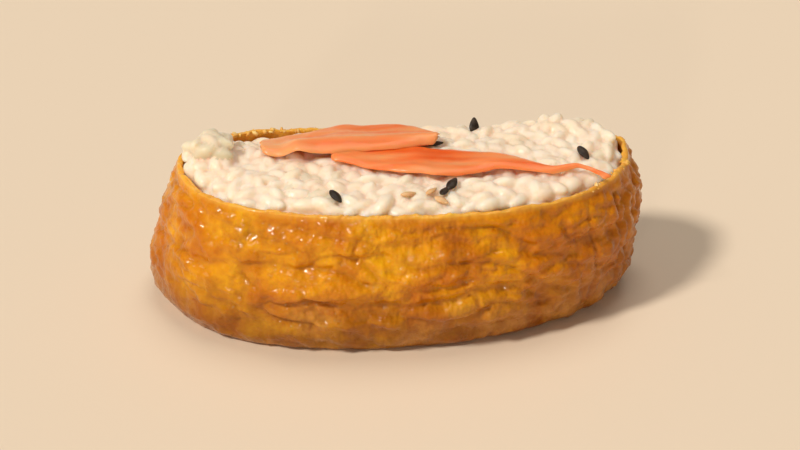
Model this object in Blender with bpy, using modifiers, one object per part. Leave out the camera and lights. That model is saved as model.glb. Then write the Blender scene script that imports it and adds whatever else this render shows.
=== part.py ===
"""Inari sushi: an open pouch of simmered fried tofu, filled with rice, with two slices of pickled ginger on top.

Run with: blender --background --python part.py

Metres, +Z up. +X runs along the pouch, its front wall faces -Y, and the origin is on the table under the
middle of the whole. Angles go round the pouch from its right-hand end (+X) by way of the back (+Y).
"""

import math

import bmesh
import bpy
from mathutils import Vector

MM = 0.001

# The pouch, over its skin where it is widest, and its rim.
HALF_LENGTH = 41.5 * MM
HALF_WIDTH = 18.9 * MM
RIM_HEIGHT = 24.2 * MM
SKIN = 1.4 * MM
CORNER_FULLNESS = 0.035  # share of a third harmonic, which fills out the oval's corners
TAPER = 0.10  # the right-hand end is this much narrower than the middle, the left-hand end wider
BEND = 6.0 * MM  # both ends lie this far behind the middle, so the back wall is nearly straight
DRAWN_CORNER = 1.8 * MM  # how far the back left-hand corner is pulled in
DRAWN_ANGLE = math.radians(150)
DRAWN_SPREAD = math.radians(22)

# The wall's profile at the two ends: how high it is widest, and how far its foot and its rim tuck in.
WIDEST_LEFT, WIDEST_RIGHT = 0.22, 0.64
FOOT_LEFT, FOOT_RIGHT = 1.6 * MM, 4.6 * MM
RIM_LEFT, RIM_RIGHT = 4.0 * MM, 2.0 * MM
RIM_CURL = 1.6  # exponent of the tuck from the widest line up to the rim
RIM_WAVE = 0.016  # the rim rises and falls by this share of its height

# Long soft folds round the wall, swelling between their creases.
FOLD_COUNT = 3
FOLD_DEPTH = 1.3 * MM
END_PLEATS = 5
END_PLEAT_DEPTH = 0.7 * MM
INSIDE_EASE = 0.5  # the folds are this much shallower on the skin's inner face

# The rice, which fills the pouch and heaps over its rim.
GAP = 0.4 * MM
HEAP_RISE = 2.3 * MM
HEAP_SHOULDER = 3.2  # exponent of the fall from the middle of the heap to its edge
GRAIN_PITCH = 6.2 * MM
GRAIN_RELIEF = 0.25 * MM
EDGE_SINK = 3.2 * MM  # how far the rice lies below the rim at the back, left of the middle
EDGE_SINK_ANGLE = math.radians(137)
EDGE_SINK_SPREAD = math.radians(24)
EDGE_REST = 0.9 * MM  # the edge of the rice stands this far above the skin everywhere else
LUMPS = (  # along, across, radius and height of the clumps that stand proud
    (-31.5 * MM, 5.6 * MM, 4.4 * MM, 2.8 * MM),
    (21.0 * MM, 12.0 * MM, 4.4 * MM, 1.6 * MM),
    (28.5 * MM, 11.5 * MM, 4.4 * MM, 2.2 * MM),
    (33.5 * MM, 9.0 * MM, 4.0 * MM, 1.8 * MM),
)

# The ginger, thin slices cut along the root. Each row is along, across and width.
GINGER_THICKNESS = 1.0 * MM
GINGER_CLEARANCE = 0.65 * MM  # over the smooth heap, so that the relief stays clear of the slice
BACK_SLICE = (
    (-23.3 * MM, 5.0 * MM, 5.4 * MM),
    (-19.0 * MM, 5.7 * MM, 9.4 * MM),
    (-13.5 * MM, 6.3 * MM, 11.8 * MM),
    (-6.5 * MM, 6.8 * MM, 11.6 * MM),
    (0.5 * MM, 6.5 * MM, 10.4 * MM),
    (7.0 * MM, 5.0 * MM, 4.6 * MM),
)
FRONT_SLICE = (
    (-15.0 * MM, 1.6 * MM, 2.6 * MM),
    (-9.0 * MM, 0.9 * MM, 5.4 * MM),
    (-3.0 * MM, -0.4 * MM, 7.2 * MM),
    (3.0 * MM, -1.7 * MM, 8.6 * MM),
    (8.0 * MM, -2.4 * MM, 8.4 * MM),
    (14.0 * MM, -2.2 * MM, 6.0 * MM),
    (20.0 * MM, -3.0 * MM, 3.6 * MM),
    (25.0 * MM, -4.4 * MM, 1.8 * MM),
    (30.0 * MM, -4.3 * MM, 1.0 * MM),
    (34.4 * MM, -7.4 * MM, 0.9 * MM),
)
OVERLAP_EDGE = 3.8 * MM  # forward of this line, the back slice lies on the front one
OVERLAP_START = -19.5 * MM  # and it starts to climb onto it here
OVERLAP_RUN = 3.0 * MM  # the width over which it climbs
OVERLAP_LIFT = GINGER_THICKNESS + 0.7 * MM
RIM_STEP = 0.8 * MM  # how much higher a slice lies where it crosses the rim
SLICE_WAVE = 0.3 * MM
SLICE_WAVE_LENGTH = 13.0 * MM

# Mesh steps.
AROUND = 72
FOOT_RINGS, WALL_RINGS, LIP_RINGS, INSIDE_RINGS = 5, 9, 3, 7
RICE_SIDE_RINGS, RICE_TOP_RINGS = 8, 11
BASE_RINGS = 1
SLICE_STEP = 1.6 * MM
SLICE_ACROSS = 5


def mix(low, high, share):
    return low + (high - low) * share


def smooth_step(share):
    share = min(max(share, 0.0), 1.0)
    return share * share * (3 - 2 * share)


def near(angle, centre, spread):
    """1 at the centre angle, falling smoothly to 0 on both sides of it."""
    return math.exp(2 * (math.cos(angle - centre) - 1) / spread**2)


def outline(angle, inset):
    """Point in plan on the pouch's widest outline, moved in by inset."""
    fill = CORNER_FULLNESS
    along = (math.cos(angle) - fill * math.cos(3 * angle)) / (1 - fill)
    across = (math.sin(angle) + fill * math.sin(3 * angle)) / (1 - fill)
    x = (HALF_LENGTH - inset) * along
    y = (HALF_WIDTH - inset) * across * (1 - TAPER * math.cos(angle))
    drawn = DRAWN_CORNER * near(angle, DRAWN_ANGLE, DRAWN_SPREAD)
    return x, y + BEND * math.cos(angle) ** 2 - drawn


def at_end(left, right, angle):
    """A value that differs between the pouch's two ends."""
    return mix(left, right, (1 + math.cos(angle)) / 2)


def tuck(angle, height):
    """How far the skin stands in from the widest outline at this height: a round foot, then a soft lean."""
    widest = RIM_HEIGHT * at_end(WIDEST_LEFT, WIDEST_RIGHT, angle)
    if height < widest:
        drop = 1 - height / widest
        return at_end(FOOT_LEFT, FOOT_RIGHT, angle) * (1 - math.sqrt(1 - drop * drop))
    rise = (height - widest) / (RIM_HEIGHT - widest)
    return at_end(RIM_LEFT, RIM_RIGHT, angle) * rise**RIM_CURL


def folds(angle, height):
    """Swell of the skin: pillows between wandering creases along the walls, upright pleats at the ends."""
    level = min(height / RIM_HEIGHT, 1.0)
    wander = 0.34 * math.sin(2 * angle + 0.9) + 0.20 * math.sin(5 * angle - 0.4)
    wander += 0.12 * math.sin(9 * angle + 1.3 + 4 * level)
    pillow = abs(math.sin(math.pi * (FOLD_COUNT * level + wander)))
    pleat = 0.5 + 0.5 * math.sin(END_PLEATS * 2 * angle + 2.2 * level)
    fade = math.sin(math.pi * level) ** 0.6 if 0 < level < 1 else 0.0
    endness = math.cos(angle) ** 2
    return fade * (FOLD_DEPTH * (pillow - 0.5) * (1 - 0.5 * endness) + END_PLEAT_DEPTH * pleat * endness)


def skin_point(angle, height, depth):
    """Point at this height, this deep under the pouch's outer skin. The floor is as thick as the wall."""
    outer_height = max(0.0, (height - depth) * RIM_HEIGHT / (RIM_HEIGHT - depth))
    swell = folds(angle, outer_height) * (1 - INSIDE_EASE * min(depth / SKIN, 1.0))
    x, y = outline(angle, tuck(angle, outer_height) + depth - swell)
    wave = 1 + RIM_WAVE * math.sin(3 * angle + 0.6) * smooth_step(height / RIM_HEIGHT)
    return Vector((x, y, height * wave))


def wall_heights(low, high, angle, rings):
    """Heights from low to high, closer together where the foot is round."""
    widest = mix(low, high, at_end(WIDEST_LEFT, WIDEST_RIGHT, angle))
    foot = [mix(low, widest, 1 - math.cos(math.pi / 2 * i / FOOT_RINGS)) for i in range(FOOT_RINGS)]
    return foot + [mix(widest, high, i / rings) for i in range(rings + 1)]


def in_plan(point, share, height):
    """A point on the line from the middle to this one, at this height: a flat floor's inner rings."""
    return Vector((point.x * share, point.y * share, height))


def pouch_section(angle):
    """The pouch's section at this angle, from the middle of its base, over the rim, to the middle inside."""
    foot = skin_point(angle, 0.0, 0.0)
    base = [in_plan(foot, i / (BASE_RINGS + 1), 0.0) for i in range(BASE_RINGS + 1)]
    outside = [skin_point(angle, h, 0.0) for h in wall_heights(0.0, RIM_HEIGHT, angle, WALL_RINGS)]
    lip = []
    for i in range(1, LIP_RINGS + 1):
        turn = math.pi * i / (LIP_RINGS + 1)
        point = skin_point(angle, RIM_HEIGHT, SKIN / 2 * (1 - math.cos(turn)))
        lip.append(point + Vector((0, 0, SKIN / 2 * math.sin(turn))))
    heights = wall_heights(SKIN, RIM_HEIGHT, angle, INSIDE_RINGS)
    inside = [skin_point(angle, h, SKIN) for h in reversed(heights)]
    floor = in_plan(inside[-1], 0.5, SKIN)
    return base + outside + lip + inside + [floor, Vector((0, 0, SKIN))]


def place_in_oval(x, y):
    """(share of the way out from the heap's middle to its edge, angle) of a point in plan."""
    inset = at_end(RIM_LEFT, RIM_RIGHT, 0.0) + SKIN
    along = x / (HALF_LENGTH - inset)
    half_width = (HALF_WIDTH - inset) * (1 - TAPER * along)
    across = (y - BEND * along * along) / half_width
    return math.hypot(along, across), math.atan2(across, along)


def smooth_heap(x, y):
    """Height of the rice without its grains: a low dome, sunk along part of the back rim."""
    out, angle = place_in_oval(x, y)
    out = min(out, 1.0)
    edge = EDGE_REST - EDGE_SINK * near(angle, EDGE_SINK_ANGLE, EDGE_SINK_SPREAD)
    return RIM_HEIGHT + mix(HEAP_RISE, edge, out**HEAP_SHOULDER)


def heap(x, y):
    """Height of the rice, with its clumps and the lie of its grains."""
    height = smooth_heap(x, y)
    for along, across, radius, rise in LUMPS:
        away = ((x - along) ** 2 + (y - across) ** 2) / radius**2
        height += rise * math.exp(-away * 1.6)
    turn = 2 * math.pi / GRAIN_PITCH
    ripple = math.sin(turn * (x + 0.4 * y)) * math.sin(turn * (y - 0.5 * x) + 0.7)
    return height + GRAIN_RELIEF * ripple


def rice_section(angle):
    """The rice's section at this angle: floor, side against the skin, and heaped top."""
    depth = SKIN + GAP
    rim_point = skin_point(angle, RIM_HEIGHT, depth)
    top_edge = heap(rim_point.x, rim_point.y)
    heights = wall_heights(depth, top_edge, angle, RICE_SIDE_RINGS)
    side = [skin_point(angle, h, depth) for h in heights]
    floor = [Vector((0, 0, depth)), in_plan(side[0], 0.5, depth)]
    rim = side[-1]
    top = []
    for i in range(1, RICE_TOP_RINGS + 1):
        share = 1 - i / RICE_TOP_RINGS
        x, y = rim.x * share, rim.y * share
        top.append(Vector((x, y, heap(x, y))))
    return floor + side + top


def smooth_along(rows, share):
    """Value of a smooth curve through evenly counted rows of numbers, share running from 0 to 1."""
    at = share * (len(rows) - 1)
    first = min(int(at), len(rows) - 2)
    t = at - first
    before, start = rows[max(first - 1, 0)], rows[first]
    end, after = rows[first + 1], rows[min(first + 2, len(rows) - 1)]
    result = []
    for a, b, c, d in zip(before, start, end, after):
        curve = 2 * b + (c - a) * t + (2 * a - 5 * b + 4 * c - d) * t**2 + (3 * b - a - 3 * c + d) * t**3
        result.append(curve / 2)
    return result


def finish(name, mesh_builder, colour, roughness):
    """The bmesh as an object in the sushi's collection, shaded smooth, in a plain material of its own."""
    mesh = bpy.data.meshes.new(name)
    bmesh.ops.recalc_face_normals(mesh_builder, faces=mesh_builder.faces)
    mesh_builder.to_mesh(mesh)
    mesh_builder.free()
    mesh.shade_smooth()
    material = bpy.data.materials.new(name)
    material.use_nodes = True
    shader = material.node_tree.nodes["Principled BSDF"]
    shader.inputs["Base Color"].default_value = (*colour, 1.0)
    shader.inputs["Roughness"].default_value = roughness
    shader.inputs["Metallic"].default_value = 0.0
    mesh.materials.append(material)
    piece = bpy.data.objects.new(name, mesh)
    bpy.data.collections["Inari_sushi"].objects.link(piece)
    return piece


def wrapped_sphere(section):
    """A sphere drawn over closed sections: each of its meridians takes the points of section(angle)."""
    rings = len(section(0.0)) - 1
    ball = bmesh.new()
    bmesh.ops.create_uvsphere(ball, u_segments=AROUND, v_segments=rings, radius=1.0)
    for vertex in ball.verts:
        angle = math.atan2(vertex.co.y, vertex.co.x)
        ring = round(rings * (1 - math.acos(min(max(vertex.co.z, -1.0), 1.0)) / math.pi))
        vertex.co = section(angle)[ring]
    return ball


def make_pouch():
    return finish("tofu_pouch", wrapped_sphere(pouch_section), (0.70, 0.26, 0.025), 0.35)


def make_rice():
    return finish("rice_filling", wrapped_sphere(rice_section), (0.90, 0.82, 0.68), 0.5)


def slice_length(rows):
    return sum(math.dist(a[:2], b[:2]) for a, b in zip(rows, rows[1:]))


def overlap_share(x, y):
    """1 where the back slice lies on the front one, 0 where it lies on the rice."""
    sideways = smooth_step((OVERLAP_EDGE + OVERLAP_RUN - y) / OVERLAP_RUN)
    return sideways * smooth_step((x - OVERLAP_START) / OVERLAP_RUN)


def make_slice(name, rows, overlaps):
    """One slice of ginger: a strip laid over the heap along its own line, thickened upwards."""
    steps = round(slice_length(rows) / SLICE_STEP)
    strip = bmesh.new()
    bmesh.ops.create_grid(strip, x_segments=steps, y_segments=SLICE_ACROSS, size=1.0)
    for vertex in strip.verts:
        share, side = (vertex.co.x + 1) / 2, vertex.co.y
        x, y, width = smooth_along(rows, share)
        ahead = smooth_along(rows, min(share + 0.02, 1.0))
        behind = smooth_along(rows, max(share - 0.02, 0.0))
        heading = math.atan2(ahead[1] - behind[1], ahead[0] - behind[0])
        x -= math.sin(heading) * side * width / 2
        y += math.cos(heading) * side * width / 2
        height = smooth_heap(x, y) + GINGER_CLEARANCE
        height += RIM_STEP * smooth_step((place_in_oval(x, y)[0] - 0.82) / 0.14)
        height += SLICE_WAVE * (1 + math.sin(2 * math.pi * x / SLICE_WAVE_LENGTH)) / 2
        if overlaps:
            height += OVERLAP_LIFT * overlap_share(x, y)
        vertex.co = (x, y, height)
    ginger = finish(name, strip, (0.93, 0.27, 0.10), 0.3)
    thicken = ginger.modifiers.new("Thickness", "SOLIDIFY")
    thicken.thickness = GINGER_THICKNESS
    thicken.offset = 1.0
    return ginger


def centre_on_base(pieces):
    """Moves every mesh so that the whole's box stands on the origin, at its middle."""
    bpy.context.view_layer.update()
    graph = bpy.context.evaluated_depsgraph_get()
    corners = [Vector(c) for piece in pieces for c in piece.evaluated_get(graph).bound_box]
    low = [min(c[axis] for c in corners) for axis in range(3)]
    high = [max(c[axis] for c in corners) for axis in range(3)]
    shift = Vector((-(low[0] + high[0]) / 2, -(low[1] + high[1]) / 2, -low[2]))
    for piece in pieces:
        for vertex in piece.data.vertices:
            vertex.co += shift


for old in list(bpy.data.objects):
    bpy.data.objects.remove(old)
bpy.context.scene.collection.children.link(bpy.data.collections.new("Inari_sushi"))

centre_on_base(
    [
        make_pouch(),
        make_rice(),
        make_slice("ginger_slice_front", FRONT_SLICE, overlaps=False),
        make_slice("ginger_slice_back", BACK_SLICE, overlaps=True),
    ]
)
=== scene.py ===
"""Inari sushi: a pouch of simmered fried tofu packed with rice, with pickled ginger and sesame on top.

Metres, +Z up. The pouch runs along X and its curved front wall faces -Y.
"""

import math

import bmesh
import bpy
import numpy as np
from mathutils import Euler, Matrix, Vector, noise
from mathutils.bvhtree import BVHTree
from mathutils.kdtree import KDTree


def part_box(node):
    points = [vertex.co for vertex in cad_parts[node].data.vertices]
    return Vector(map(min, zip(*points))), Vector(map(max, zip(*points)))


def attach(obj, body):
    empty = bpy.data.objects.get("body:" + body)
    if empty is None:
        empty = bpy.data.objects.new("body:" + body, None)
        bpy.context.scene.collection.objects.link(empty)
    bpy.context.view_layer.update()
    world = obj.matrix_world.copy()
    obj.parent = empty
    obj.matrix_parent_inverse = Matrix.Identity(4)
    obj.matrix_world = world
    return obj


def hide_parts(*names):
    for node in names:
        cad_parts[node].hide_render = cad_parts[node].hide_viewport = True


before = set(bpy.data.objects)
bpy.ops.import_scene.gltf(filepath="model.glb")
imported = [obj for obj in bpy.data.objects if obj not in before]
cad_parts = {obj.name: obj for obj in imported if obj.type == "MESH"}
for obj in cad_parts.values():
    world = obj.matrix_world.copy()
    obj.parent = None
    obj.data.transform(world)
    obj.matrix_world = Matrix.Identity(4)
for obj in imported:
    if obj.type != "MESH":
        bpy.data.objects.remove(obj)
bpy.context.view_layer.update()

MM = 0.001

# ---- The tofu pouch --------------------------------------------------------------------------------
# A slab of fried tofu, slit and opened into a bag, then simmered in sweet soy broth until it is soft.
# Its skin swells into long pillows between creases, is pebbled all over and wet with broth.

AROUND = 720
FOOT_RINGS, WALL_RINGS, LIP_RINGS, INSIDE_RINGS = 8, 60, 7, 12
UNDERSIDE_SHARES = (0.35, 0.7, 0.9)
SKIN = 1.2 * MM
LIP_RISE = 0.35 * MM
FAR = 0.1  # rays start this far out, clear of the whole piece
PILLOW_DEPTH = 1.15 * MM
WRINKLE_DEPTH = 0.55 * MM
LUMP_DEPTH = 0.55 * MM
PEBBLE_DEPTH = 0.24 * MM
CORNER_BULGE = 1.1 * MM  # the slab's lower corner sticks out at the left-hand end
INSIDE_TAPER = 0.9 * MM  # the skin is this much thicker below the rim
POUCH_FLOOR = 1.6 * MM

noise.seed_set(5)  # fixes the drift of the creases


def mix(low, high, share):
    """The value this share of the way from low to high."""
    return low + (high - low) * share


def smooth_step(low, high, value):
    """0 below low, 1 above high and an even curve between; low may be the greater of the two."""
    share = np.clip((value - low) / (high - low), 0.0, 1.0)
    return share * share * (3 - 2 * share)


def solid_tree(node):
    """The faces of a CAD solid, for finding its surface with rays."""
    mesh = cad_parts[node].data
    return BVHTree.FromPolygons([v.co for v in mesh.vertices], [p.vertices for p in mesh.polygons])


def soften_round(values, passes):
    """Evens out a ring of values, which irons the facets out of a solid's surface."""
    for _ in range(passes):
        values = (np.roll(values, 1, axis=0) + 2 * values + np.roll(values, -1, axis=0)) / 4
    return values


pouch_tree = solid_tree("tofu_pouch")
pouch_low, pouch_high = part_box("tofu_pouch")
angles = np.linspace(0, 2 * math.pi, AROUND, endpoint=False)


def wall_radius(angle, height):
    """Distance from the middle to the pouch's outer face at this height."""
    outward = Vector((math.cos(angle), math.sin(angle), 0))
    hit = pouch_tree.ray_cast(outward * FAR + Vector((0, 0, height)), -outward)[0]
    return math.hypot(hit.x, hit.y)


def rim_height(angle):
    """Height of the crest of the rim at this angle, found by feeling across the skin from above."""
    start = wall_radius(angle, pouch_high.z - 2 * MM)
    best = 0.0
    for step in range(16):
        radius = start - step * 0.25 * MM
        above = Vector((math.cos(angle) * radius, math.sin(angle) * radius, FAR))
        hit = pouch_tree.ray_cast(above, Vector((0, 0, -1)))[0]
        best = max(best, hit.z if hit else 0.0)
    return best


def pouch_levels():
    """Shares of the wall's height, closer together where the foot is round."""
    foot = 0.25 * (1 - np.cos(np.linspace(0, math.pi / 2, FOOT_RINGS, endpoint=False)))
    return np.concatenate([foot, np.linspace(0.25, 1.0, WALL_RINGS)])


crest = soften_round(np.array([rim_height(a) for a in angles]), 40)
levels = pouch_levels()
wall_top = crest - LIP_RISE - 0.25 * MM
wall = np.empty((AROUND, len(levels), 3))
for column, angle in enumerate(angles):
    for ring, level in enumerate(levels):
        height = level * wall_top[column]
        radius = wall_radius(angle, max(height, 0.05 * MM))
        wall[column, ring] = (radius * math.cos(angle), radius * math.sin(angle), height)
wall = soften_round(wall, 30)
wall[:, 0, 2] = 0.0


def grid_normals(points):
    """Outward normals of a grid of points that closes on itself along its first axis."""
    around = np.roll(points, -1, axis=0) - np.roll(points, 1, axis=0)
    up = np.gradient(points, axis=1)
    normals = np.cross(around, up)
    return normals / np.linalg.norm(normals, axis=2, keepdims=True)


def fold_lines(point):
    """How far a point is from the nearest of some wandering creases: 0 on a crease, 1 well away from it."""
    return float(smooth_step(-0.25, 1.0, min(abs(noise.noise(point)) * 3.0, 1.0)))


def skin_relief(x, y, z):
    """(swell in metres, crease from 0 to 1, which the material darkens as painted shade, browning from 0 to
    1) of the skin, for a place in millimetres.
    """
    place = Vector((x, y, z))
    drift = noise.noise_vector(place * 0.07) * 0.45 + noise.noise_vector(place * 0.21) * 0.16
    lengthwise = fold_lines(Vector((x / 17, y / 17, z / 5.0 + 0.018 * x)) + drift)
    upright = fold_lines(Vector((x / 4.0, y / 4.0, z / 24)) + drift)
    right_end = float(smooth_step(24, 36, x))
    fold = mix(lengthwise, min(upright, lengthwise * 0.5 + 0.5), right_end)
    wrinkle = fold_lines(Vector((x / 7.0, y / 7.0, z / 2.1 + 0.03 * x)) + drift * 2)
    calm = 1 - 0.4 * float(smooth_step(-29, -38, x))
    strength = (0.65 + 0.7 * noise.noise(place * 0.06 + Vector((9, 2, 5)))) * calm * (1 + 0.5 * right_end)
    patch = 0.55 + 0.7 * noise.noise(place * 0.12 + Vector((3, 7, 1)))
    lump = noise.fractal(Vector((x * 0.24, y * 0.24, z * 0.42)) + Vector((6, 1, 4)), 0.9, 2.0, 2)
    pebble = noise.fractal(place * 0.70, 0.8, 2.2, 3)
    corner = math.exp(-(((z - 6.0) / 3.6) ** 2)) * float(smooth_step(-35.5, -40.5, x))
    swell = PILLOW_DEPTH * strength * (fold - 0.75) + WRINKLE_DEPTH * patch * (wrinkle - 0.7)
    swell += LUMP_DEPTH * lump * calm + PEBBLE_DEPTH * pebble + CORNER_BULGE * corner
    crease = 0.8 * strength * (1 - fold) ** 2 + 0.5 * patch * (1 - wrinkle) ** 2
    browning = 0.5 + 0.6 * noise.fractal(place * 0.085 + Vector((4, 4, 8)), 0.8, 2.0, 3)
    return swell, min(max(crease, 0.0), 1.0), min(max(browning, 0.0), 1.0)


relief = np.array([[skin_relief(*(place / MM)) for place in column] for column in wall])
fade = smooth_step(0.0, 0.07, levels) * (1 - 0.75 * smooth_step(0.93, 1.0, levels))
swell = relief[:, :, 0] * fade
outside = wall + grid_normals(wall) * swell[:, :, None]
outside[:, :, 2] = np.maximum(outside[:, :, 2], 0.0)
outside[:, 0, 2] = 0.0

inward = -wall[:, -1] * (1, 1, 0)
inward /= np.linalg.norm(inward, axis=1, keepdims=True)
fray = np.array([noise.fractal(Vector(p) / MM * 0.55, 0.8, 2.0, 3) for p in wall[:, -1]])
lip_width = SKIN * (1 + 0.30 * fray)
lip_rise = LIP_RISE * (1 + 0.9 * np.roll(fray, 37))


def lip_ring(turn):
    """One ring of the rounded, uneven edge, turn running from 0 outside to pi inside."""
    ring = outside[:, -1] + inward * (lip_width * (1 - math.cos(turn)) / 2)[:, None]
    ring[:, 2] += lip_rise * math.sin(turn)
    return ring


def inside_ring(share):
    """One ring of the skin's inner face, share running from 0 at the rim to 1 at the floor."""
    height = mix(wall_top, POUCH_FLOOR, share)
    radius = np.empty(AROUND)
    smooth_radii = np.linalg.norm(wall[:, :, :2], axis=2)
    for column in range(AROUND):
        radius[column] = np.interp(height[column], wall[column, :, 2], smooth_radii[column])
    radius -= lip_width + INSIDE_TAPER * min(share * 5, 1.0)
    return np.stack([radius * np.cos(angles), radius * np.sin(angles), height], axis=1)


def ring_towards_middle(ring, share, height):
    """A ring drawn in to this share of its size, level at one height."""
    return np.stack([ring[:, 0] * share, ring[:, 1] * share, np.full(AROUND, height)], axis=1)


def closed_of_rings(name, rings, attributes):
    """A closed mesh lofted through rings, with a fan at each end; attributes hold a value per ring point."""
    bottom, top = rings[0].mean(axis=0), rings[-1].mean(axis=0)
    points = np.concatenate([np.concatenate(rings), [bottom, top]])
    count, around = len(rings), len(rings[0])
    faces = []
    for ring in range(count - 1):
        low, high = ring * around, (ring + 1) * around
        for i in range(around):
            j = (i + 1) % around
            faces.append((low + i, low + j, high + j, high + i))
    last = (count - 1) * around
    for i in range(around):
        j = (i + 1) % around
        faces.append((count * around, j, i))
        faces.append((count * around + 1, last + i, last + j))
    mesh = bpy.data.meshes.new(name)
    mesh.from_pydata(points.tolist(), [], faces)
    mesh.shade_smooth()
    for label, values in attributes.items():
        layer = mesh.attributes.new(label, "FLOAT", "POINT")
        layer.data.foreach_set("value", np.append(values, [0.0, 0.0]).astype(np.float32))
    piece = bpy.data.objects.new(name, mesh)
    bpy.context.scene.collection.objects.link(piece)
    return piece


underside = [ring_towards_middle(outside[:, 0], share, 0.0) for share in UNDERSIDE_SHARES]
rings = underside + [outside[:, ring] for ring in range(len(levels))]
rings += [lip_ring(math.pi * i / (LIP_RINGS + 1)) for i in range(1, LIP_RINGS + 1)]
inside_shares = np.linspace(0, 1, INSIDE_RINGS) ** 1.5
inner_wall = [inside_ring(share) for share in inside_shares]
rings += inner_wall + [ring_towards_middle(inner_wall[-1], 0.5, POUCH_FLOOR)]


def on_rings(values, over_rim):
    """Values of the wall's grid, carried on to the rings under it, and one value for those over the rim."""
    under = [values[:, 0]] * len(underside)
    over = [np.full(AROUND, over_rim)] * (len(rings) - len(under) - len(levels))
    return np.concatenate(under + [values[:, ring] for ring in range(len(levels))] + over)


crease, browning = relief[:, :, 1] * fade, relief[:, :, 2]
cut_edge = np.tile(smooth_step(0.975, 1.0, levels), (AROUND, 1)) * 0.6
pouch_marks = {
    "crease": on_rings(crease, 0.0), "browning": on_rings(browning, 0.3), "cut_edge": on_rings(cut_edge, 1.0),
}
pouch = closed_of_rings("pouch", rings, pouch_marks)


def new_material(name):
    """A material with its Principled shader, ready for its nodes."""
    material = bpy.data.materials.new(name)
    material.use_nodes = True
    return material, material.node_tree, material.node_tree.nodes["Principled BSDF"]


def add_node(tree, kind, settings=None, **values):
    """A shader node with its properties set, and its sockets set or linked; socket names use _ for spaces."""
    node = tree.nodes.new(kind)
    for key, value in (settings or {}).items():
        setattr(node, key, value)
    for key, value in values.items():
        socket = node.inputs[key.replace("_", " ")]
        if isinstance(value, bpy.types.NodeSocket):
            tree.links.new(value, socket)
        else:
            socket.default_value = value
    return node


def blend_colours(tree, share, first, second, how="MIX"):
    """Socket of a colour mixed from two, by a share that is a number or a socket."""
    node = tree.nodes.new("ShaderNodeMix")
    node.data_type = "RGBA"
    node.blend_type = how
    for socket, value in ((node.inputs[0], share), (node.inputs[6], first), (node.inputs[7], second)):
        if isinstance(value, bpy.types.NodeSocket):
            tree.links.new(value, socket)
        else:
            socket.default_value = value
    return node.outputs[2]


def remap(tree, value, low, high, to_low=0.0, to_high=1.0):
    """Socket of a value stretched from one range to another."""
    node = add_node(tree, "ShaderNodeMapRange", None, Value=value)
    for name, number in (("From Min", low), ("From Max", high), ("To Min", to_low), ("To Max", to_high)):
        node.inputs[name].default_value = number
    return node.outputs["Result"]


def make_mottle_group():
    """Uneven colouring and a pebbled surface, for anything moist: a soft mask, a speckle and a height."""
    group = bpy.data.node_groups.new("moist_mottle", "ShaderNodeTree")
    for name, value in (("Patch Scale", 100.0), ("Speckle Scale", 800.0), ("Pebble Scale", 1200.0)):
        group.interface.new_socket(name, in_out="INPUT", socket_type="NodeSocketFloat").default_value = value
    for name in ("Patches", "Speckle", "Height"):
        group.interface.new_socket(name, in_out="OUTPUT", socket_type="NodeSocketFloat")
    given = group.nodes.new("NodeGroupInput")
    made = group.nodes.new("NodeGroupOutput")
    place = add_node(group, "ShaderNodeTexCoord").outputs["Object"]
    patches = add_node(
        group, "ShaderNodeTexNoise", None, Vector=place, Scale=given.outputs["Patch Scale"], Detail=3.0
    )
    speckle = add_node(
        group, "ShaderNodeTexNoise", None, Vector=place, Scale=given.outputs["Speckle Scale"], Detail=2.0
    )
    pebbles = add_node(
        group, "ShaderNodeTexVoronoi", {"feature": "SMOOTH_F1"},
        Vector=place, Scale=given.outputs["Pebble Scale"], Smoothness=0.6,
    )
    pebble_height = add_node(group, "ShaderNodeMath", {"operation": "MULTIPLY_ADD"})
    group.links.new(pebbles.outputs["Distance"], pebble_height.inputs[0])
    pebble_height.inputs[1].default_value = -0.7
    group.links.new(speckle.outputs["Fac"], pebble_height.inputs[2])
    group.links.new(remap(group, patches.outputs["Fac"], 0.32, 0.68), made.inputs["Patches"])
    group.links.new(remap(group, speckle.outputs["Fac"], 0.30, 0.70), made.inputs["Speckle"])
    group.links.new(pebble_height.outputs[0], made.inputs["Height"])
    return group


moist_mottle = make_mottle_group()

TOFU_GOLD = (0.86, 0.385, 0.002, 1)
TOFU_AMBER = (0.57, 0.158, 0.001, 1)
TOFU_SHADE = (0.50, 0.47, 0.65, 1)  # painted shade: what the foot of the wall keeps of the colour above it
TOFU_TAN = (0.60, 0.27, 0.05, 1)
TOFU_BROWN = (0.30, 0.070, 0.001, 1)
TOFU_CUT = (0.84, 0.42, 0.055, 1)

tofu_finish, tofu_tree, tofu_shader = new_material("simmered_tofu")
tofu_mottle = add_node(
    tofu_tree, "ShaderNodeGroup", {"node_tree": moist_mottle},
    Patch_Scale=130.0, Speckle_Scale=700.0, Pebble_Scale=1300.0,
)
tofu_crease_shade = add_node(tofu_tree, "ShaderNodeAttribute", {"attribute_name": "crease"}).outputs["Fac"]
tofu_browning = add_node(tofu_tree, "ShaderNodeAttribute", {"attribute_name": "browning"}).outputs["Fac"]
tofu_cut = add_node(tofu_tree, "ShaderNodeAttribute", {"attribute_name": "cut_edge"}).outputs["Fac"]
tofu_place = add_node(tofu_tree, "ShaderNodeTexCoord").outputs["Object"]
tofu_apart = add_node(tofu_tree, "ShaderNodeSeparateXYZ", None, Vector=tofu_place)
low_down = remap(tofu_tree, tofu_apart.outputs["Z"], 13 * MM, 3 * MM)
# Painted shade: the right-hand end, which lies in shade, is turned towards amber.
right_end_shade_amber = remap(tofu_tree, tofu_apart.outputs["X"], 10 * MM, 38 * MM, 0.0, 0.6)
base = blend_colours(tofu_tree, tofu_mottle.outputs["Patches"], TOFU_GOLD, TOFU_AMBER)
base = blend_colours(tofu_tree, remap(tofu_tree, tofu_browning, 0.45, 0.85, 0.0, 0.6), base, TOFU_AMBER)
base = blend_colours(tofu_tree, right_end_shade_amber, base, TOFU_AMBER)
# Painted shade: the wall is multiplied darker towards its foot.
base = blend_colours(tofu_tree, low_down, base, TOFU_SHADE, "MULTIPLY")
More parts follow.
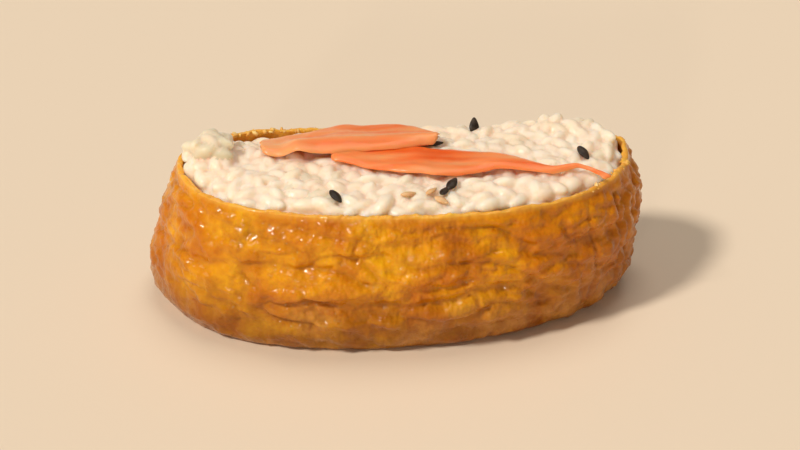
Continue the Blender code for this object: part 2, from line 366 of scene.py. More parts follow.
crusty = add_node(
    tofu_tree, "ShaderNodeTexNoise", None, Vector=tofu_place, Scale=95.0, Detail=5.0, Roughness=0.65
).outputs["Fac"]
rubbed = add_node(tofu_tree, "ShaderNodeMath", {"operation": "MULTIPLY"})
tofu_tree.links.new(remap(tofu_tree, crusty, 0.50, 0.62, 0.0, 0.75), rubbed.inputs[0])
tofu_tree.links.new(low_down, rubbed.inputs[1])
base = blend_colours(tofu_tree, rubbed.outputs[0], base, TOFU_TAN)
base = blend_colours(tofu_tree, remap(tofu_tree, crusty, 0.48, 0.34, 0.0, 0.5), base, TOFU_BROWN)
# Painted shade: the right-hand end is darkened further towards brown.
right_end_shade_brown = remap(tofu_tree, tofu_apart.outputs["X"], 24 * MM, 42 * MM, 0.0, 0.28)
base = blend_colours(tofu_tree, right_end_shade_brown, base, TOFU_BROWN)
# Painted shade in the creases: they are darkened towards brown.
base = blend_colours(tofu_tree, remap(tofu_tree, tofu_crease_shade, 0.1, 1.0, 0.0, 0.7), base, TOFU_BROWN)
base = blend_colours(tofu_tree, remap(tofu_tree, tofu_cut, 0.0, 1.0, 0.0, 0.8), base, TOFU_CUT)
speckled = blend_colours(tofu_tree, 0.16, base, tofu_mottle.outputs["Speckle"], "SOFT_LIGHT")
tofu_tree.links.new(speckled, tofu_shader.inputs["Base Color"])
tofu_tree.links.new(
    remap(tofu_tree, tofu_mottle.outputs["Speckle"], 0, 1, 0.26, 0.44), tofu_shader.inputs["Roughness"]
)
tofu_bump = add_node(
    tofu_tree, "ShaderNodeBump", None, Strength=0.7, Distance=0.22 * MM, Height=tofu_mottle.outputs["Height"]
)
tofu_tree.links.new(tofu_bump.outputs["Normal"], tofu_shader.inputs["Normal"])
for name, value in (
    ("Subsurface Weight", 0.2), ("Subsurface Scale", 2.0 * MM), ("Specular IOR Level", 0.17),
    ("Coat Weight", 0.6), ("Coat Roughness", 0.05), ("Coat IOR", 1.36),
):
    tofu_shader.inputs[name].default_value = value
tofu_shader.inputs["Subsurface Radius"].default_value = (1.0, 0.35, 0.05)
pouch.data.materials.append(tofu_finish)
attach(pouch, "root")
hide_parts("tofu_pouch")

# ---- The rice --------------------------------------------------------------------------------------
# Short-grain rice, steamed, seasoned with vinegar and pressed into the pouch by hand. A packed core
# fills it, and plump sticky grains lie over it in every direction, heaped a little over the rim.

CORE_SINK = 1.7 * MM
BED_SINK = 0.45 * MM  # the grains lie in a bed of sticky rice, this far under the heap's outline
BED_THICKNESS = 2.0 * MM
CORE_RINGS = 26
CORE_SIDE_SHARES = (1.0, 0.75, 0.5, 0.25, 0.12)
GRAIN_LENGTH, GRAIN_WIDTH, GRAIN_THICKNESS = 5.2 * MM, 2.6 * MM, 2.25 * MM
GRAIN_AROUND, GRAIN_RINGS = 14, 9
GRAIN_SPACING = 1.75 * MM
GRAIN_EDGE = 0.5 * MM  # grains' middles stay this far inside the skin
STICKY_VOXEL = 0.23 * MM  # how finely the grains are melted together where they touch
MOST_FACES = 180000
EDGE_BAND = 3.0 * MM  # grains this near the skin lie more or less along it
RICE_PRESS = 0.6 * MM  # how far the rice presses into the soft skin
OVERHANG = 1.1 * MM  # how far a grain above the rim may lean out over it
CLUMP_AT = (-31.5 * MM, 5.6 * MM)  # a few glassy grains are heaped at the left-hand end
CLUMP_REACH = 3.2 * MM
CLUMP_GRAINS = 12

rice_tree = solid_tree("rice_filling")
rice_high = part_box("rice_filling")[1]
inner_edge = inner_wall[0]
inner_radius = np.linalg.norm(inner_edge[:, :2], axis=1)


def edge_radius(angle):
    """Distance from the middle to the inner face of the skin at the rim."""
    return float(np.interp(angle % (2 * math.pi), angles, inner_radius, period=2 * math.pi))


def rice_height(x, y):
    """Height of the heap; past the CAD solid's edge it is the height at that edge."""
    for pull in (1.0, 0.985, 0.97, 0.95, 0.92):
        hit = rice_tree.ray_cast(Vector((x * pull, y * pull, FAR)), Vector((0, 0, -1)))[0]
        if hit and hit.z > rice_high.z - 8 * MM:
            return hit.z
    return rice_high.z - 4 * MM


def heap_rings(sink, press):
    """Rings that follow the heap's top, this far under it, from the skin that it presses on to the middle."""
    rings = []
    for step in range(CORE_RINGS):
        share = 1 - step / CORE_RINGS
        ring = np.empty((AROUND // 4, 3))
        for column, angle in enumerate(angles[::4]):
            radius = (inner_radius[4 * column] + press) * share
            x, y = radius * math.cos(angle), radius * math.sin(angle)
            lumpy = noise.fractal(Vector((x, y, 0)) / MM * 0.35, 0.9, 2.0, 2) * 0.2 * MM
            ring[column] = (x, y, rice_height(x, y) - sink + lumpy)
        rings.append(ring)
    return rings


core_rings = []
for share in CORE_SIDE_SHARES[::-1]:
    height = mix(1.9 * MM, pouch_high.z - 5 * MM, share)
    ring = inside_ring(1 - share * 0.9) if share < 1 else inside_ring(0.1)
    core_rings.append(ring[::4] * (0.985, 0.985, 1))
core_rings += heap_rings(CORE_SINK, -0.1 * MM)
bed_rings = heap_rings(BED_SINK, RICE_PRESS)
bed_rings[0] += (0, 0, BED_SINK)
bed_rings.insert(0, bed_rings[0] - (0, 0, BED_THICKNESS))


def grain_shape(bend, plumpness):
    """Points and faces of one cooked grain along X: plump, faintly bent, with a nick where the germ was."""
    ball = bmesh.new()
    bmesh.ops.create_uvsphere(ball, u_segments=GRAIN_AROUND, v_segments=GRAIN_RINGS, radius=0.5)
    points = []
    for vertex in ball.verts:
        along, side, up = vertex.co.z * 2, vertex.co.x * 2, vertex.co.y * 2
        full = 1 + 0.10 * along * plumpness + 0.10 * (1 - along * along)
        nick = 0.16 * math.exp(-((along - 0.8) ** 2 + (up - 0.5) ** 2) * 6)
        x = along * GRAIN_LENGTH / 2 * (1 - nick * 0.5)
        y = side * GRAIN_WIDTH / 2 * full + bend * (1 - along * along) * MM
        z = up * GRAIN_THICKNESS / 2 * full * (1 - nick)
        points.append((x, y, z))
    faces = [tuple(v.index for v in face.verts) for face in ball.faces]
    ball.free()
    return np.array(points), faces


def joined_mesh(name, parts):
    """One object of many small bodies. Each part is (points, faces, {attribute: value})."""
    labels = sorted(parts[0][2])
    all_points, all_faces, values = [], [], {label: [] for label in labels}
    start = 0
    for points, faces, marks in parts:
        all_points.append(points)
        all_faces += [tuple(i + start for i in face) for face in faces]
        for label in labels:
            values[label].append(np.full(len(points), marks[label]))
        start += len(points)
    mesh = bpy.data.meshes.new(name)
    mesh.from_pydata(np.concatenate(all_points).tolist(), [], all_faces)
    mesh.shade_smooth()
    for label in labels:
        layer = mesh.attributes.new(label, "FLOAT", "POINT")
        layer.data.foreach_set("value", np.concatenate(values[label]).astype(np.float32))
    piece = bpy.data.objects.new(name, mesh)
    bpy.context.scene.collection.objects.link(piece)
    return piece


def placed(points, turn, scale, at):
    """Points turned, scaled and moved to their place."""
    matrix = np.array(turn.to_matrix()) * scale
    return points @ matrix.T + np.array(at)


def scatter(spacing, chance, inset):
    """Places in the opening at least a spacing apart, by trial."""
    cells, kept = {}, []
    reach = pouch_high.x
    for _ in range(60000):
        x, y = chance.uniform(-reach, reach), chance.uniform(pouch_low.y, pouch_high.y)
        if math.hypot(x, y) > edge_radius(math.atan2(y, x)) - inset:
            continue
        cell = (int(x // spacing), int(y // spacing))
        near = [p for i in (-1, 0, 1) for j in (-1, 0, 1) for p in cells.get((cell[0] + i, cell[1] + j), ())]
        if all(math.hypot(x - p[0], y - p[1]) >= spacing for p in near):
            cells.setdefault(cell, []).append((x, y))
            kept.append((x, y))
    return kept


slice_trees = [solid_tree("ginger_slice_front"), solid_tree("ginger_slice_back")]


def ceiling(x, y):
    """Underside of the ginger over this place, or a height well above everything."""
    lowest = FAR
    for tree in slice_trees:
        hit = tree.ray_cast(Vector((x, y, 0)), Vector((0, 0, 1)))[0]
        if hit:
            lowest = min(lowest, hit.z)
    return lowest


def rim_at(angle):
    """(point of the skin's inner edge, direction it runs in, height of its crest) at this angle."""
    column = int(round(angle / (2 * math.pi) * AROUND)) % AROUND
    ahead, behind = inner_edge[(column + 4) % AROUND], inner_edge[column - 4]
    return inner_edge[column], math.atan2(ahead[1] - behind[1], ahead[0] - behind[0]), crest[column]


def held_in(body):
    """Shift in plan that keeps a grain's points within the skin; above the rim they may lean over it."""
    shift = np.zeros(3)
    for _ in range(3):
        worst, column = 0.0, 0
        for x, y, z in body + shift:
            at = int(round(math.atan2(y, x) / (2 * math.pi) * AROUND)) % AROUND
            limit = inner_radius[at] + (OVERHANG if z > crest[at] - 0.1 * MM else RICE_PRESS / 2)
            if math.hypot(x, y) - limit > worst:
                worst, column = math.hypot(x, y) - limit, at
        shift += inward[column] * worst
    return shift


GRAIN_SINK, GRAIN_SINK_BY_SKIN = 0.95 * MM, 0.7 * MM  # grains' middles under the heap's outline
GRAIN_JITTER = 0.22 * MM
GLASSY_SHARE = 0.12

chance = np.random.default_rng(7)
grain_kinds = [grain_shape(bend, plump) for bend, plump in ((0.25, 1), (0.4, -1), (0.1, 0.5), (-0.3, -0.5))]
grains = []
for x, y in scatter(GRAIN_SPACING, chance, GRAIN_EDGE):
    shape, faces = grain_kinds[chance.integers(len(grain_kinds))]
    angle = math.atan2(y, x)
    _, rim_heading, _ = rim_at(angle)
    by_skin = edge_radius(angle) - math.hypot(x, y) < EDGE_BAND
    heading = rim_heading + chance.normal(0, 0.6) if by_skin else chance.uniform(0, 2 * math.pi)
    turn = Euler((chance.uniform(-3, 3), chance.normal(0, 0.12 if by_skin else 0.24), heading))
    size = chance.uniform(0.85, 1.10)
    body = placed(shape, turn, size, (0, 0, 0))
    height = rice_height(x, y) - (GRAIN_SINK_BY_SKIN if by_skin else GRAIN_SINK)
    height += chance.uniform(-GRAIN_JITTER, GRAIN_JITTER)
    roof = min(ceiling(x, y), ceiling(x + body[:, 0].max() * 0.6, y), ceiling(x + body[:, 0].min() * 0.6, y))
    height = min(height, roof - 0.1 * MM - body[:, 2].max())
    body += (x, y, height)
    if by_skin:
        body += held_in(body)
    glassy = float(chance.random() < GLASSY_SHARE) * chance.uniform(0.3, 0.7)
    grains.append((body, faces, {"tone": chance.random(), "clear": glassy}))
for i in range(CLUMP_GRAINS):
    shape, faces = grain_kinds[i % len(grain_kinds)]
    away, angle = CLUMP_REACH * math.sqrt((i + 0.5) / CLUMP_GRAINS), i * 2.4
    x, y = CLUMP_AT[0] + away * math.cos(angle), CLUMP_AT[1] + away * math.sin(angle)
    turn = Euler((chance.uniform(-3, 3), chance.normal(0, 0.25), chance.uniform(0, 2 * math.pi)))
    height = rice_height(x, y) + mix(1.2, -0.1, away / CLUMP_REACH) * MM
    body = placed(shape, turn, chance.uniform(0.9, 1.1), (x, y, height))
    body += held_in(body)
    grains.append((body, faces, {"tone": chance.random(), "clear": chance.uniform(0.4, 1.0)}))


def apply_modifiers(piece):
    """Puts the shape that the piece's modifiers give it into its mesh."""
    graph = bpy.context.evaluated_depsgraph_get()
    mesh = bpy.data.meshes.new_from_object(piece.evaluated_get(graph))
    piece.modifiers.clear()
    piece.data = mesh


def melt_together(piece, voxel, most_faces):
    """Makes the bodies of a joined mesh one skin, softly filleted where they touch, of so many triangles."""
    merge = piece.modifiers.new("Merge", "REMESH")
    merge.mode = "VOXEL"
    merge.voxel_size = voxel
    merge.use_smooth_shade = True
    soften = piece.modifiers.new("Soften", "SMOOTH")
    soften.factor = 0.5
    soften.iterations = 4
    apply_modifiers(piece)
    thin = piece.modifiers.new("Thin", "DECIMATE")
    thin.ratio = min(1.0, most_faces / (2 * len(piece.data.polygons)))
    apply_modifiers(piece)
    piece.data.shade_smooth()


def mark_by_nearest(piece, parts):
    """Gives each point of the piece the marks of the small body that it is nearest to."""
    count = sum(len(points) for points, _, _ in parts)
    tree = KDTree(count)
    owners = []
    for owner, (points, _, _) in enumerate(parts):
        for point in points:
            tree.insert(point, len(owners))
            owners.append(owner)
    tree.balance()
    nearest = [owners[tree.find(v.co)[1]] for v in piece.data.vertices]
    for label in parts[0][2]:
        values = np.array([parts[owner][2][label] for owner in nearest], np.float32)
        piece.data.attributes.new(label, "FLOAT", "POINT").data.foreach_set("value", values)


core = closed_of_rings("rice_core", core_rings, {})
bed = closed_of_rings("rice_bed", bed_rings, {})
bed_points = np.array([v.co for v in bed.data.vertices])
bed_faces = [tuple(p.vertices) for p in bed.data.polygons]
grains.append((bed_points, bed_faces, {"tone": 0.5, "clear": 0.0}))
bpy.data.objects.remove(bed)
rice = joined_mesh("rice_grains", grains)
melt_together(rice, STICKY_VOXEL, MOST_FACES)
mark_by_nearest(rice, grains)

RICE_WHITE = (0.93, 0.77, 0.61, 1)
RICE_SHADE = (0.90, 0.69, 0.49, 1)
RICE_CLEAR = (0.70, 0.62, 0.44, 1)

rice_finish, rice_nodes, rice_shader = new_material("sushi_rice")
rice_mottle = add_node(
    rice_nodes, "ShaderNodeGroup", {"node_tree": moist_mottle},
    Patch_Scale=260.0, Speckle_Scale=1500.0, Pebble_Scale=1400.0,
)
tone = add_node(rice_nodes, "ShaderNodeAttribute", {"attribute_name": "tone"}).outputs["Fac"]
clear_grain = add_node(rice_nodes, "ShaderNodeAttribute", {"attribute_name": "clear"}).outputs["Fac"]
base = blend_colours(rice_nodes, remap(rice_nodes, tone, 0, 1, 0.0, 0.6), RICE_WHITE, RICE_SHADE)
base = blend_colours(rice_nodes, clear_grain, base, RICE_CLEAR)
base = blend_colours(rice_nodes, 0.15, base, rice_mottle.outputs["Patches"], "SOFT_LIGHT")
rice_nodes.links.new(base, rice_shader.inputs["Base Color"])
rice_nodes.links.new(
    remap(rice_nodes, rice_mottle.outputs["Speckle"], 0, 1, 0.34, 0.50), rice_shader.inputs["Roughness"]
)
rice_bump = add_node(
    rice_nodes, "ShaderNodeBump", None, Strength=0.25, Distance=0.1 * MM, Height=rice_mottle.outputs["Height"]
)
rice_nodes.links.new(rice_bump.outputs["Normal"], rice_shader.inputs["Normal"])
for name, value in (
    ("Subsurface Weight", 1.0), ("Subsurface Scale", 2.4 * MM), ("Specular IOR Level", 0.35),
    ("Coat Weight", 0.15), ("Coat Roughness", 0.18),
):
    rice_shader.inputs[name].default_value = value
rice_shader.inputs["Subsurface Radius"].default_value = (1.0, 0.82, 0.6)
for piece in (rice, core):
    piece.data.materials.append(rice_finish)
    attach(piece, "root")
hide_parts("rice_filling")

# ---- The ginger ------------------------------------------------------------------------------------
# Young ginger, shaved thin along the root and pickled in vinegar, which turns it coral pink. The two
# slices lie wet and limp on the rice; the front one ends in a thread that reaches the rim.

GINGER_STEPS, GINGER_ACROSS = 220, 30
GINGER_THICKNESS = 0.85 * MM
GINGER_EDGE = 0.14 * MM  # thickness at the shaved edges
FIBRE_DEPTH = 0.05 * MM
OUTLINE_WAVE = 0.28 * MM
SURFACE_WAVE = 0.30 * MM
CORNER_ROUND = 0.9 * MM
LEAST_WIDTH = 0.5 * MM
FEEL_STEP = 0.1 * MM


def soften_along(values, passes):
    """Evens out a row of values that has two ends."""
    for _ in range(passes):
        padded = np.concatenate([values[:1], values, values[-1:]])
        values = (padded[:-2] + 2 * padded[1:-1] + padded[2:]) / 4
    return values


def slice_rows(node, slants, first_share):
    """Row starts and points of a CAD slice's top, felt along rows that lean with its two cut ends."""
    tree = solid_tree(node)
    low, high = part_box(node)
    middle = (low.y + high.y) / 2
    starts, rows = [], []
    for share in np.linspace(first_share, 1.1, 3 * GINGER_STEPS // 2):
        start, slant = mix(low.x, high.x, share), mix(*slants, share)
        hits = []
        for y in np.arange(low.y, high.y, FEEL_STEP):
            hit = tree.ray_cast(Vector((start + slant * (y - middle), y, FAR)), Vector((0, 0, -1)))[0]
            if hit:
                hits.append((y, hit.z))
        if len(hits) * FEEL_STEP >= LEAST_WIDTH:
            ys, heights = np.array(hits).T
            across = np.linspace(ys[0], ys[-1], GINGER_ACROSS)
            starts.append(start)
            along = start + slant * (across - middle)
            rows.append(np.stack([along, across, np.interp(across, ys, heights)], axis=1))
    return np.array(starts), np.array(rows)


def ginger_slice(name, node, slants, first_share, seed, depth_of, settle):
    """A closed sheet over the CAD slice: thin shaved edges, a soft wave and fibres along its length."""
    starts, rows = slice_rows(node, slants, first_share)
    rows[:, :, 1] = soften_along(rows[:, :, 1], 30)
    rows[:, :, 2] = soften_along(soften_along(rows[:, :, 2], 30).T, 6).T
    at = np.linspace(starts[0], starts[-1], GINGER_STEPS)
    top = np.empty((GINGER_STEPS, GINGER_ACROSS, 3))
    for j in range(GINGER_ACROSS):
        for axis in range(3):
            top[:, j, axis] = np.interp(at, starts, rows[:, j, axis])
    thickness = np.empty((GINGER_STEPS, GINGER_ACROSS))
    depth = np.empty((GINGER_STEPS, GINGER_ACROSS))
    for i, share in enumerate(np.linspace(0, 1, GINGER_STEPS)):
        width = top[i, -1, 1] - top[i, 0, 1]
        from_end = min(at[i] - at[0], at[-1] - at[i])
        for j, side in enumerate(np.linspace(0, 1, GINGER_ACROSS)):
            x, y, _ = top[i, j] / MM
            out = 2 * side - 1
            wave = noise.noise(Vector((x * 0.28, seed, math.copysign(4, out)))) * abs(out) ** 3
            fibre = noise.noise(Vector((x * 0.05, side * 16 + seed, seed)))
            ripple = noise.fractal(Vector((x * 0.13, y * 0.20, seed)), 0.9, 2.0, 3)
            near_edge = (1 - abs(out)) * width / 2
            feather = math.sqrt(min(near_edge / (1.1 * MM), 1.0) * min(from_end / (0.7 * MM) + 0.1, 1.0))
            thickness[i, j] = mix(GINGER_EDGE, GINGER_THICKNESS, feather)
            corner = CORNER_ROUND * abs(out) ** 4 * max(1 - from_end / (3 * MM), 0.0)
            top[i, j, 0] += corner if share < 0.5 else -corner
            top[i, j, 1] += OUTLINE_WAVE * wave * min(width / (4 * MM), 1.0)
            droop = settle * (1 - float(smooth_step(0.0, 0.35, side))) * float(smooth_step(0.17, 0.36, share))
            top[i, j, 2] += fibre * FIBRE_DEPTH + ripple * SURFACE_WAVE - (1 - feather) * 0.55 * MM
            top[i, j, 2] -= 0.25 * MM + droop
            streak = noise.noise(Vector((x * 0.10, y * 0.65, seed)))
            depth[i, j] = depth_of(share, side) + 0.5 * streak
    under = top - np.stack([0 * thickness, 0 * thickness, thickness], axis=2)
    points = np.concatenate([top.reshape(-1, 3), under.reshape(-1, 3)])
    faces = []
    offset = GINGER_STEPS * GINGER_ACROSS
    index = np.arange(offset).reshape(GINGER_STEPS, GINGER_ACROSS)
    for i in range(GINGER_STEPS - 1):
        for j in range(GINGER_ACROSS - 1):
            quad = (index[i, j], index[i + 1, j], index[i + 1, j + 1], index[i, j + 1])
            faces.append(quad)
            faces.append(tuple(offset + k for k in reversed(quad)))
    border = [*index[:-1, 0], *index[-1, :-1], *index[:0:-1, -1], *index[0, :0:-1]]
    for a, b in zip(border, border[1:] + border[:1]):
        faces.append((a, offset + a, offset + b, b))
    mesh = bpy.data.meshes.new(name)
    mesh.from_pydata(points.tolist(), [], [tuple(int(k) for k in face) for face in faces])
    mesh.shade_smooth()
    layer = mesh.attributes.new("depth", "FLOAT", "POINT")
    layer.data.foreach_set("value", np.tile(depth.reshape(-1), 2).astype(np.float32))
    piece = bpy.data.objects.new(name, mesh)
    bpy.context.scene.collection.objects.link(piece)
    return piece


def front_depth(share, side):
    """Depth of the front slice's colour: deepest, as a painted shadow of the other slice, where it comes out
    from under it.
    """
    return 0.5 + 0.5 * float(smooth_step(0.35, 0.9, side)) * (1 - float(smooth_step(0.35, 0.6, share)))


def back_depth(share, side):
    """Depth of the back slice's colour: its left-hand end is the palest."""
    return 0.42 - 0.45 * (1 - float(smooth_step(0.0, 0.4, share))) + 0.1 * side


GINGER_PALE = (0.98, 0.38, 0.15, 1)
GINGER_CORAL = (0.98, 0.245, 0.070, 1)
GINGER_DEEP = (0.86, 0.115, 0.010, 1)

ginger_finish, ginger_tree, ginger_shader = new_material("pickled_ginger")
ginger_mottle = add_node(
    ginger_tree, "ShaderNodeGroup", {"node_tree": moist_mottle},
    Patch_Scale=180.0, Speckle_Scale=900.0, Pebble_Scale=1600.0,
)
ginger_depth = add_node(ginger_tree, "ShaderNodeAttribute", {"attribute_name": "depth"}).outputs["Fac"]
ginger_place = add_node(ginger_tree, "ShaderNodeTexCoord").outputs["Object"]
stretched = add_node(ginger_tree, "ShaderNodeMapping", None, Vector=ginger_place, Scale=(45.0, 700.0, 200.0))
fibres = add_node(ginger_tree, "ShaderNodeTexNoise", None, Vector=stretched.outputs[0], Scale=1.0, Detail=2.0)
base = blend_colours(ginger_tree, remap(ginger_tree, ginger_depth, 0.0, 0.5), GINGER_PALE, GINGER_CORAL)
# Deeper colour follows the depth mark: random streaks in both slices, and painted shadow where the front
# slice comes out from under the back one.
base = blend_colours(ginger_tree, remap(ginger_tree, ginger_depth, 0.5, 1.0), base, GINGER_DEEP)
base = blend_colours(ginger_tree, 0.30, base, fibres.outputs["Fac"], "SOFT_LIGHT")
ginger_tree.links.new(base, ginger_shader.inputs["Base Color"])
ginger_bump = add_node(
    ginger_tree, "ShaderNodeBump", None, Strength=0.25, Distance=0.10 * MM, Height=fibres.outputs["Fac"]
)
ginger_tree.links.new(ginger_bump.outputs["Normal"], ginger_shader.inputs["Normal"])
ginger_tree.links.new(
    remap(ginger_tree, ginger_mottle.outputs["Speckle"], 0, 1, 0.28, 0.42), ginger_shader.inputs["Roughness"]
)
for name, value in (
    ("Subsurface Weight", 0.6), ("Subsurface Scale", 1.6 * MM), ("Specular IOR Level", 0.22),
    ("Coat Weight", 0.25), ("Coat Roughness", 0.09), ("Coat IOR", 1.36),
):
    ginger_shader.inputs[name].default_value = value
ginger_shader.inputs["Subsurface Radius"].default_value = (1.0, 0.35, 0.15)
for name, node, slants, first_share, seed, depth_of, settle in (
    ("ginger_front", "ginger_slice_front", (0.1, 0.4), 0.07, 3.0, front_depth, 0.0),
    ("ginger_back", "ginger_slice_back", (-0.3, 0.25), -0.1, 8.0, back_depth, 0.95 * MM),
):
    piece = ginger_slice(name, node, slants, first_share, seed, depth_of, settle)
    piece.data.materials.append(ginger_finish)
    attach(piece, "root")
    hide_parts(node)

# ---- The sesame ------------------------------------------------------------------------------------
# Black and toasted white sesame seeds, scattered on the rice by hand: flat drops, 3 mm long, with a
# faint rim round each face.

SEED_LENGTH, SEED_WIDTH, SEED_THICKNESS = 3.2 * MM, 1.8 * MM, 0.95 * MM
BLACK_SEEDS = (  # along and across in millimetres, the way it points, how far its tip dips, and its size
    (-11.0, -11.3, -58, 16, 1.0),
    (8.1, -8.6, 60, -12, 0.95),
    (6.7, -10.4, 68, 4, 0.85),
    (6.2, 4.3, 10, 0, 0.9),
    (13.4, 12.0, 86, -46, 1.0),
    (31.0, 1.5, -62, 20, 1.0),
)
TOASTED_SEEDS = ((0.8, -11.0, 20, 5, 0.85), (6.1, -12.6, -35, 10, 0.8), (4.6, -10.4, 40, -5, 0.72))


def seed_shape():
    """Points and faces of one seed, pointed at one end, along X."""
    ball = bmesh.new()
    bmesh.ops.create_uvsphere(ball, u_segments=20, v_segments=14, radius=0.5)
    points = []
    for vertex in ball.verts:
        along, side, up = vertex.co.z * 2, vertex.co.x * 2, vertex.co.y * 2
        narrow = 1 - 0.32 * smooth_step(-0.2, 1.0, along)
        dent = 1 - 0.18 * math.exp(-((abs(side) - 0.62) ** 2) * 30) * abs(up)
        points.append(
            (along * SEED_LENGTH / 2, side * SEED_WIDTH / 2 * narrow, up * SEED_THICKNESS / 2 * narrow * dent)
        )
    faces = [tuple(v.index for v in face.verts) for face in ball.faces]
    ball.free()
    return np.array(points, float), faces


def tree_of(piece):
    """The faces of a piece, for finding its surface with rays."""
    return BVHTree.FromPolygons(
        [v.co for v in piece.data.vertices], [p.vertices for p in piece.data.polygons]
    )


grain_tree = tree_of(rice)


def rest_height(x, y):
    """Height of the grains under a seed, from a few places under it."""
    best = 0.0
    for dx, dy in ((0, 0), (0.8, 0), (-0.8, 0), (0, 0.6), (0, -0.6)):
        hit = grain_tree.ray_cast(Vector((x + dx * MM, y + dy * MM, FAR)), Vector((0, 0, -1)))[0]
        best = max(best, hit.z if hit else 0.0)
    return best


def sprinkle(name, seeds, chance):
    """A joined mesh of seeds that lie on the grains."""
    shape, faces = seed_shape()
    parts = []
    for x, y, heading, dip, size in seeds:
        turn = Euler((chance.uniform(-0.3, 0.3), math.radians(dip), math.radians(heading)))
        at = (x * MM, y * MM, rest_height(x * MM, y * MM) + 0.2 * MM)
        parts.append((placed(shape, turn, size, at), faces, {"tone": chance.random()}))
    return joined_mesh(name, parts)


black_finish, black_tree, black_shader = new_material("black_sesame")
black_mottle = add_node(
    black_tree, "ShaderNodeGroup", {"node_tree": moist_mottle},
    Patch_Scale=900.0, Speckle_Scale=3500.0, Pebble_Scale=4500.0,
)
SEED_BLACK = (0.016, 0.009, 0.005, 1)
SEED_WORN = (0.055, 0.036, 0.022, 1)
base = blend_colours(black_tree, black_mottle.outputs["Patches"], SEED_BLACK, SEED_WORN)
black_tree.links.new(base, black_shader.inputs["Base Color"])
black_bump = add_node(
    black_tree, "ShaderNodeBump", None,
    Strength=0.4, Distance=0.06 * MM, Height=black_mottle.outputs["Height"],
)
black_tree.links.new(black_bump.outputs["Normal"], black_shader.inputs["Normal"])
black_shader.inputs["Roughness"].default_value = 0.42
black_shader.inputs["Specular IOR Level"].default_value = 0.25

toasted_finish, toasted_tree, toasted_shader = new_material("toasted_sesame")
toasted_mottle = add_node(
    toasted_tree, "ShaderNodeGroup", {"node_tree": moist_mottle},
    Patch_Scale=700.0, Speckle_Scale=3000.0, Pebble_Scale=4500.0,
)
SEED_TOASTED = (0.66, 0.36, 0.14, 1)
SEED_PALE = (0.78, 0.52, 0.26, 1)
base = blend_colours(toasted_tree, toasted_mottle.outputs["Patches"], SEED_TOASTED, SEED_PALE)
toasted_tree.links.new(base, toasted_shader.inputs["Base Color"])
toasted_bump = add_node(
    toasted_tree, "ShaderNodeBump", None,
    Strength=0.4, Distance=0.06 * MM, Height=toasted_mottle.outputs["Height"],
)
toasted_tree.links.new(toasted_bump.outputs["Normal"], toasted_shader.inputs["Normal"])
toasted_shader.inputs["Roughness"].default_value = 0.5
toasted_shader.inputs["Subsurface Weight"].default_value = 0.3
toasted_shader.inputs["Subsurface Scale"].default_value = 1 * MM

for name, seeds, finish in (
    ("black_sesame_seeds", BLACK_SEEDS, black_finish),
    ("toasted_sesame_seeds", TOASTED_SEEDS, toasted_finish),
):
    piece = sprinkle(name, seeds, np.random.default_rng(11))
    piece.data.materials.append(finish)
    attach(piece, "root")

# ---- The crumbs ------------------------------------------------------------------------------------
# Flecks of the crisp fried skin, which break off where the slab is slit open. They cling to the cut
# rim, most of all at the back left and at the right-hand end.

CRUMB_STRETCHES = ((112, 168, 90), (-20, 30, 26))  # from and to in degrees round the rim, and how many
CRUMB_LEAST, CRUMB_MOST = 0.4 * MM, 1.3 * MM
CRUMB_FLATTEN = (1.0, 0.8, 0.5)


def crumb_shape(seed):
    """Points and faces of one ragged crumb, 1 across."""
    ball = bmesh.new()
    bmesh.ops.create_icosphere(ball, subdivisions=2, radius=0.5)
    points = [v.co * (1 + 0.7 * noise.noise(v.co * 3.1 + Vector((seed, 0, 0)))) for v in ball.verts]
    faces = [tuple(v.index for v in face.verts) for face in ball.faces]
    ball.free()
    return np.array(points) * CRUMB_FLATTEN, faces


chance = np.random.default_rng(23)
crumb_kinds = [crumb_shape(seed * 9.7) for seed in range(5)]
crumbs = []
for first, last, count in CRUMB_STRETCHES:
    for _ in range(count):
        edge, _, top = rim_at(math.radians(chance.uniform(first, last)))
        shape, faces = crumb_kinds[chance.integers(len(crumb_kinds))]
        turn = Euler(chance.uniform(0, 2 * math.pi, 3))
        size = mix(CRUMB_LEAST, CRUMB_MOST, chance.random() ** 2)
        out = edge * (1, 1, 0) / np.linalg.norm(edge[:2])
        at = edge * (1, 1, 0) + out * SKIN * chance.uniform(-0.2, 1.1) + (0, 0, top - 0.55 * MM)
        crumbs.append((placed(shape, turn, size, at), faces, {"tone": chance.random()}))

crumb_finish, crumb_tree, crumb_shader = new_material("fried_crumb")
crumb_tone = add_node(crumb_tree, "ShaderNodeAttribute", {"attribute_name": "tone"}).outputs["Fac"]
crumb_mottle = add_node(
    crumb_tree, "ShaderNodeGroup", {"node_tree": moist_mottle},
    Patch_Scale=900.0, Speckle_Scale=2500.0, Pebble_Scale=2500.0,
)
CRUMB_PALE = (0.88, 0.60, 0.22, 1)
base = blend_colours(crumb_tree, crumb_tone, TOFU_CUT, CRUMB_PALE)
base = blend_colours(crumb_tree, 0.4, base, crumb_mottle.outputs["Patches"], "SOFT_LIGHT")
crumb_tree.links.new(base, crumb_shader.inputs["Base Color"])
crumb_bump = add_node(
    crumb_tree, "ShaderNodeBump", None,
    Strength=0.4, Distance=0.08 * MM, Height=crumb_mottle.outputs["Height"],
)
crumb_tree.links.new(crumb_bump.outputs["Normal"], crumb_shader.inputs["Normal"])
crumb_shader.inputs["Roughness"].default_value = 0.42
crumb_piece = joined_mesh("tofu_crumbs", crumbs)
crumb_piece.data.materials.append(crumb_finish)
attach(crumb_piece, "root")

# ---- The studio ------------------------------------------------------------------------------------
# A pale, warm tabletop that curves up far away into its own backdrop, under a soft key from the upper
# left, a softer light overhead and a weak one low in front that picks out the wet skin.

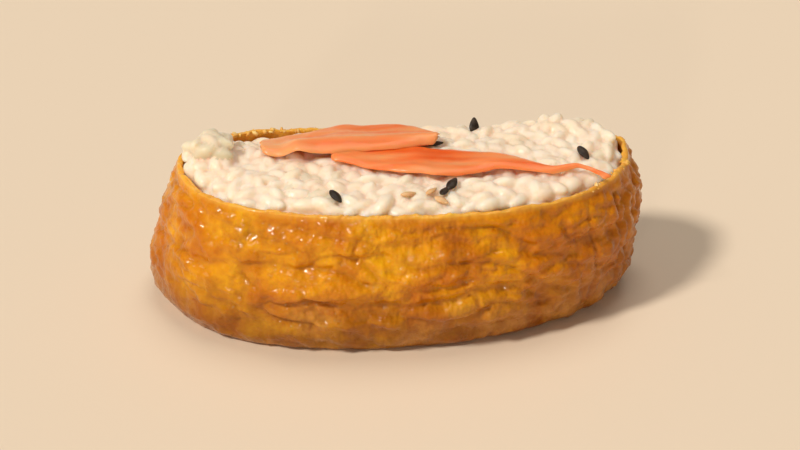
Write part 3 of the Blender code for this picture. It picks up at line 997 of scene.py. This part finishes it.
TABLE = (0.80, 0.66, 0.50, 1)
TABLE_RADII = (0.5, 1.0, 2.0, 3.0, 3.5, 4.0, 4.5, 5.0, 5.5, 6.0)
TABLE_FLAT = 2.5  # the tabletop is flat to this radius
COVE_HEIGHT = 0.9
TABLE_SIDES = 96
CAMERA_ELEVATION = math.radians(31)
CAMERA_AZIMUTH = math.radians(-3)
CAMERA_DISTANCE = 0.364
FRAME_SHARE = 0.62  # of the picture's width that the pouch takes up

sheet = bmesh.new()
around = [2 * math.pi * side / TABLE_SIDES for side in range(TABLE_SIDES)]
inner = [sheet.verts.new((0, 0, 0))] * TABLE_SIDES
for radius in TABLE_RADII:
    height = COVE_HEIGHT * float(smooth_step(TABLE_FLAT, TABLE_RADII[-1], radius))
    outer = [sheet.verts.new((radius * math.cos(a), radius * math.sin(a), height)) for a in around]
    for i in range(TABLE_SIDES):
        corners = [inner[i - 1], outer[i - 1], outer[i], inner[i]]
        sheet.faces.new(corners if inner[i] is not inner[i - 1] else corners[:3])
    inner = outer
table_mesh = bpy.data.meshes.new("table")
sheet.to_mesh(table_mesh)
sheet.free()
table_mesh.shade_smooth()
table = bpy.data.objects.new("table", table_mesh)
bpy.context.scene.collection.objects.link(table)
table_finish, _, table_shader = new_material("table")
table_shader.inputs["Base Color"].default_value = TABLE
table_shader.inputs["Roughness"].default_value = 0.7
table.data.materials.append(table_finish)

world = bpy.data.worlds.new("studio")
bpy.context.scene.world = world
world.use_nodes = True
world.node_tree.nodes["Background"].inputs["Color"].default_value = (1.0, 0.93, 0.84, 1)
world.node_tree.nodes["Background"].inputs["Strength"].default_value = 0.20


def soft_light(name, comes_from, spread, strength, colour):
    """An even light from one direction, as soft as its spread in degrees."""
    data = bpy.data.lights.new(name, "SUN")
    data.angle = math.radians(spread)
    data.energy = strength
    data.color = colour
    light = bpy.data.objects.new(name, data)
    light.rotation_euler = Vector(comes_from).to_track_quat("Z", "Y").to_euler()
    bpy.context.scene.collection.objects.link(light)


soft_light("key", (-0.95, -0.50, 1.2), 9, 2.30, (1.0, 0.95, 0.88))
soft_light("overhead", (0.15, 0.35, 1.4), 35, 0.84, (1.0, 0.95, 0.90))
soft_light("glint", (-0.35, -1.1, 0.28), 5, 0.36, (1.0, 0.96, 0.90))

scene = bpy.context.scene
scene.view_settings.view_transform = "Standard"
looked_at = Vector((0, 0, 0.014))
direction = Vector((
    math.sin(CAMERA_AZIMUTH) * math.cos(CAMERA_ELEVATION),
    -math.cos(CAMERA_AZIMUTH) * math.cos(CAMERA_ELEVATION),
    math.sin(CAMERA_ELEVATION),
))
lens = bpy.data.cameras.new("camera")
lens.sensor_width = 36
lens.lens = lens.sensor_width * FRAME_SHARE * CAMERA_DISTANCE / (pouch_high.x - pouch_low.x)
lens.clip_start = 0.01
camera = bpy.data.objects.new("camera", lens)
camera.location = looked_at + direction * CAMERA_DISTANCE
camera.rotation_euler = direction.to_track_quat("Z", "Y").to_euler()
scene.collection.objects.link(camera)
scene.camera = camera
